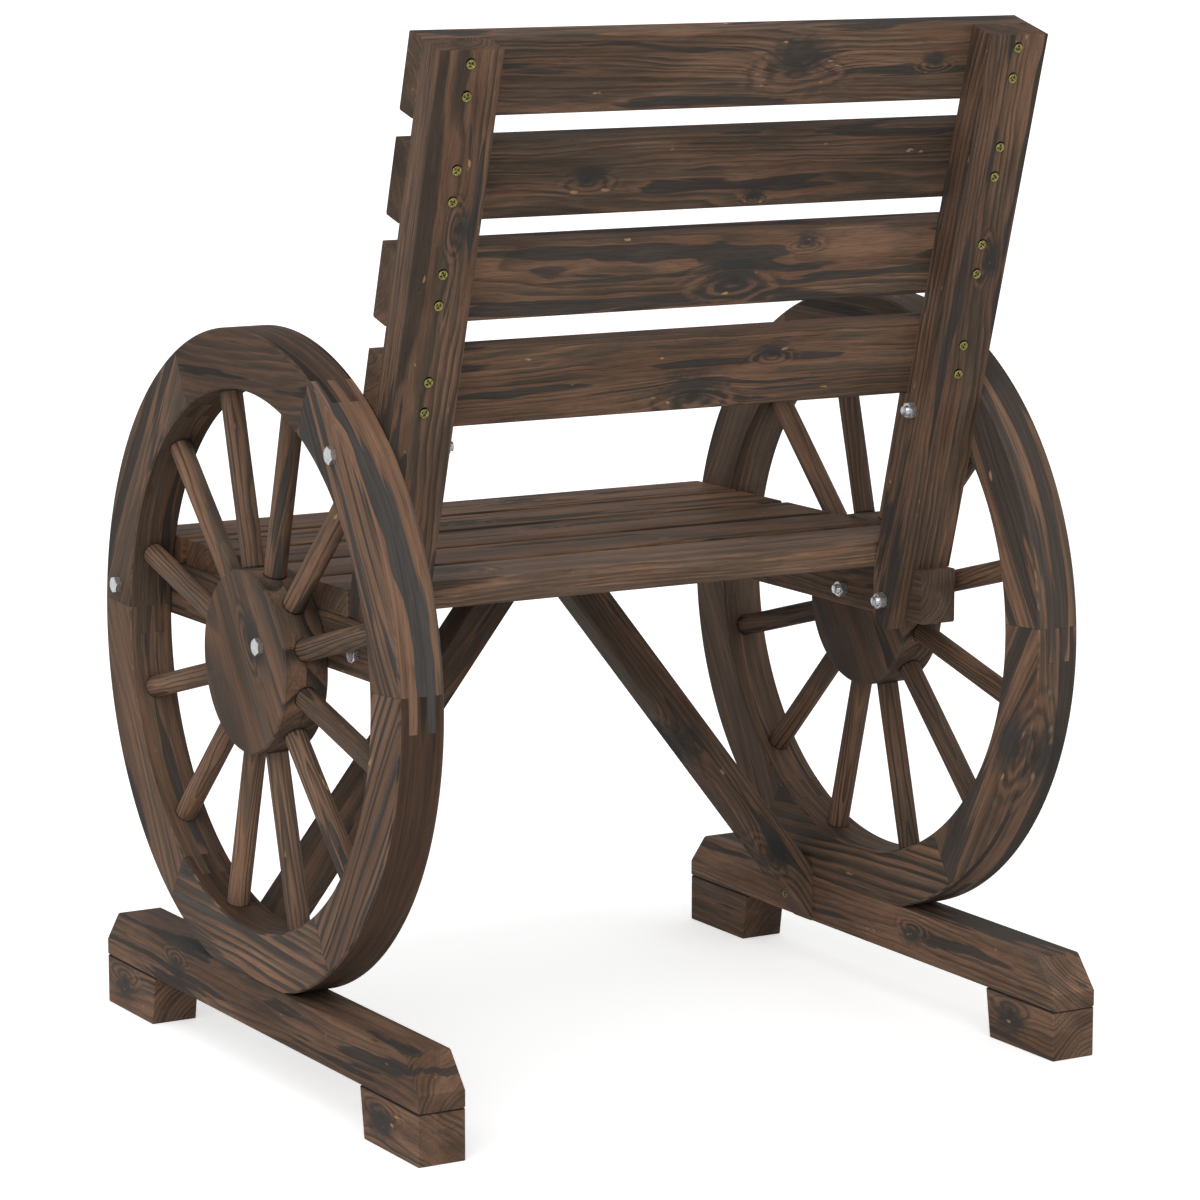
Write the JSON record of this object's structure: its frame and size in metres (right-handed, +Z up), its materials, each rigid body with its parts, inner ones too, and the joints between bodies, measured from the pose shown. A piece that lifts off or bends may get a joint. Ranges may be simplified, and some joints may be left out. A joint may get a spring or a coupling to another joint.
{
  "type": "wagon wheel chair",
  "caption": "Rustic slatted armchair of scorched wood whose arms and sides are spoked wagon wheels, standing on footed skids with crossed braces under the seat.",
  "frame": {"origin": "middle of the overall box on the floor, halfway along the skids and halfway between the wheels", "axes": "+Z up, the seat opens towards -Y, the wheels stand at +X (sitter's left) and -X"},
  "size_m": [0.6566, 0.588, 0.8777],
  "materials": {
    "rim_wood": "scorched and brushed fir, low satin sheen",
    "hub_wood": "scorched and brushed fir, low satin sheen",
    "spoke_wood": "scorched and brushed fir, low satin sheen",
    "base_wood": "scorched and brushed fir, low satin sheen",
    "seat_wood": "scorched and brushed fir, low satin sheen",
    "back_wood": "scorched and brushed fir, low satin sheen",
    "frame_wood": "scorched and brushed fir, low satin sheen",
    "zinc_steel": "bright zinc plate",
    "screw_brass": "yellow zinc plate"
  },
  "bodies": {
    "root": {"left_felloe_1": "rim_wood", "left_felloe_2": "rim_wood", "left_felloe_3": "rim_wood", "left_felloe_4": "rim_wood", "left_felloe_5": "rim_wood", "left_felloe_6": "rim_wood", "right_felloe_1": "rim_wood", "right_felloe_2": "rim_wood", "right_felloe_3": "rim_wood", "right_felloe_4": "rim_wood", "right_felloe_5": "rim_wood", "right_felloe_6": "rim_wood", "left_outer_hub_disc": "hub_wood", "left_inner_hub_disc": "hub_wood", "right_outer_hub_disc": "hub_wood", "right_inner_hub_disc": "hub_wood", "left_spokes": "spoke_wood", "right_spokes": "spoke_wood", "left_skid": "base_wood", "right_skid": "base_wood", "left_front_foot": "base_wood", "right_front_foot": "base_wood", "left_rear_foot": "base_wood", "right_rear_foot": "base_wood", "left_rail": "frame_wood", "right_rail": "frame_wood", "left_post": "frame_wood", "right_post": "frame_wood", "left_brace": "frame_wood", "right_brace": "frame_wood", "seat_board_1": "seat_wood", "seat_board_2": "seat_wood", "seat_board_3": "seat_wood", "seat_board_4": "seat_wood", "seat_board_5": "seat_wood", "back_slat_1": "back_wood", "back_slat_2": "back_wood", "back_slat_3": "back_wood", "back_slat_4": "back_wood", "rim_bolts": "zinc_steel", "hub_bolts": "zinc_steel", "post_bolts": "zinc_steel", "nuts": "zinc_steel", "slat_screws": "screw_brass", "brace_screws": "screw_brass"}
  },
  "joints": []
}
